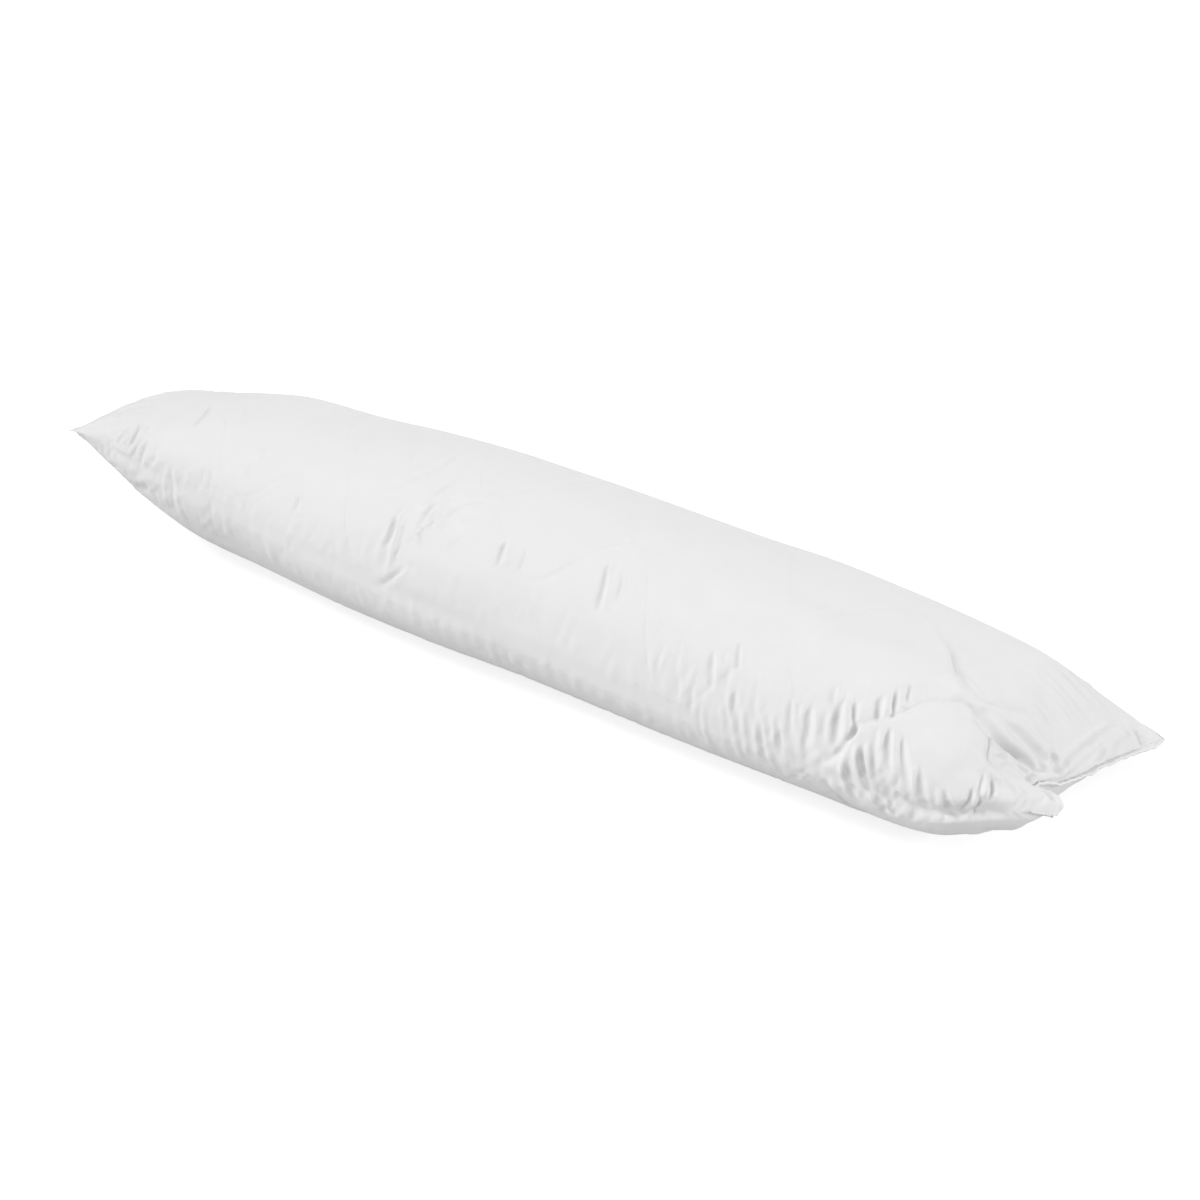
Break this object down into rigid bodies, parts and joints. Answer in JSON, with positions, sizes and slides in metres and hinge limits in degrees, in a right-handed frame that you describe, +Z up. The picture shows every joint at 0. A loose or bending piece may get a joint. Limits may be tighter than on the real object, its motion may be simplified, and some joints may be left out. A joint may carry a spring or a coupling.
{
  "type": "body pillow",
  "caption": "Long filled pillow with a wavy quilted cover and drawn-in ends, lying slightly rolled on its back, for support along the body in bed.",
  "frame": {"origin": "middle of the footprint's bounding box, on the surface the pillow lies on", "axes": "+X along the pillow towards the end with the hemmed closing seam, +Y towards the far long seam, +Z up"},
  "size_m": [1.3983, 0.347, 0.1873],
  "materials": {
    "white_fabric": "smooth, soft sheen"
  },
  "bodies": {
    "root": {"body_pillow": "white_fabric"}
  },
  "joints": []
}
